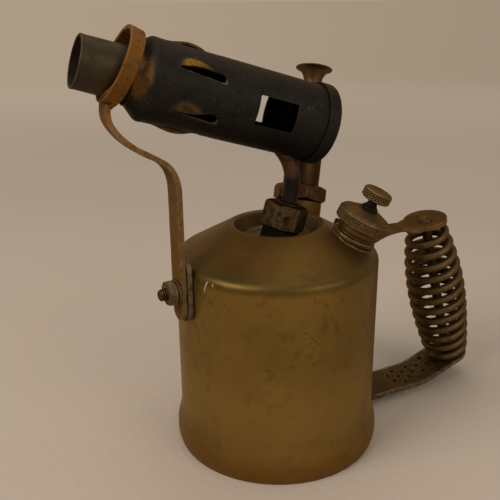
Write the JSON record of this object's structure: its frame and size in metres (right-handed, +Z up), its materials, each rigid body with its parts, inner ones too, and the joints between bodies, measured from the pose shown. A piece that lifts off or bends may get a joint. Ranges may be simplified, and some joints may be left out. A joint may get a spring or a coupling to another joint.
{
  "type": "paraffin blow lamp",
  "caption": "Paraffin blow lamp: brass fuel tank with a hand pump and a screw filler cap, a slotted steel burner on a steel stay, and a wound wire handle.",
  "frame": {"origin": "middle of the whole lamp's box, on the surface that the lamp stands on", "axes": "+Z up, +X from the tank towards the handle, so the burner fires towards -X"},
  "size_m": [0.2134, 0.1014, 0.1977],
  "materials": {
    "tank_brass": "old drawn brass, dull, olive to brown",
    "worn_brass": "old turned brass, dull and dark in its hollows",
    "burnt_steel": "heat-blackened steel with patches of brown patina",
    "muzzle_steel": "heat-dulled steel, grey to brown",
    "burnt_copper": "heat-darkened copper alloy, reddish brown",
    "rusty_steel": "steel with an even coat of ochre rust",
    "dull_steel": "dull grey steel",
    "dark_bronze": "steel with a dark bronze patina",
    "black_steel": "blackened steel",
    "leather": "oiled leather"
  },
  "bodies": {
    "lamp": {"tank_shell": "tank_brass", "base_plate": "tank_brass", "pump_boss": "tank_brass", "gland_nut": "worn_brass", "burner_socket": "worn_brass", "gland_olive": "worn_brass", "jet_block": "worn_brass", "jet_nipple": "worn_brass", "rear_plug_screw": "worn_brass", "suction_tube": "worn_brass", "suction_strainer": "worn_brass", "valve_seat": "worn_brass", "valve_cage": "worn_brass", "filler_neck": "worn_brass", "handle_top_bracket": "worn_brass", "strap_rivet_1": "worn_brass", "strap_rivet_2": "worn_brass", "burner_jacket": "burnt_steel", "muzzle_tube": "muzzle_steel", "rear_cap": "muzzle_steel", "vaporiser_pipe": "burnt_copper", "pump_collar": "burnt_copper", "pump_barrel": "burnt_copper", "pump_cap": "burnt_copper", "burner_stay": "rusty_steel", "stay_stud": "rusty_steel", "stay_backing_plate": "dull_steel", "stay_nut": "dull_steel", "stay_washer": "dull_steel", "check_spring": "dull_steel", "handle_lower_strap": "dark_bronze", "grip_rod": "dark_bronze", "grip_coil": "dark_bronze"},
    "plunger": {"pump_knob": "worn_brass", "pump_rod": "dull_steel", "pump_leather": "leather", "piston_plate": "worn_brass", "piston_nut": "worn_brass"},
    "check_valve": {"check_valve": "worn_brass"},
    "filler_gasket": {"filler_gasket": "leather"},
    "filler_cap": {"filler_cap": "worn_brass"},
    "air_screw": {"air_screw_stem": "black_steel", "air_screw_knob": "worn_brass"}
  },
  "joints": [
    {"name": "pump_stroke", "type": "slide", "parent": "lamp", "child": "plunger", "axis": [0.2762, 0.2531, 0.9272], "range_m": [0, 0.09]},
    {"name": "check_valve_lift", "type": "slide", "parent": "lamp", "child": "check_valve", "axis": [-0.2762, -0.2531, -0.9272], "range_m": [0, 0.0012], "stiffness_N_per_m": 40, "springref_m": -0.001, "deforming": ["check_spring"]},
    {"name": "filler_cap_lift", "type": "slide", "parent": "lamp", "child": "filler_gasket", "axis": [0.3613, -0.2483, 0.8988], "range_m": [0, 0.024]},
    {"name": "filler_cap_turn", "type": "hinge", "parent": "filler_gasket", "child": "filler_cap", "pos_m": [0.01073, -0.02071, 0.10157], "axis": [0.3613, -0.2483, 0.8988], "range_deg": [0, 720]},
    {"name": "air_screw_turn", "type": "hinge", "parent": "filler_cap", "child": "air_screw", "pos_m": [0.01073, -0.02071, 0.10157], "axis": [0.3613, -0.2483, 0.8988], "range_deg": [0, 540]}
  ]
}
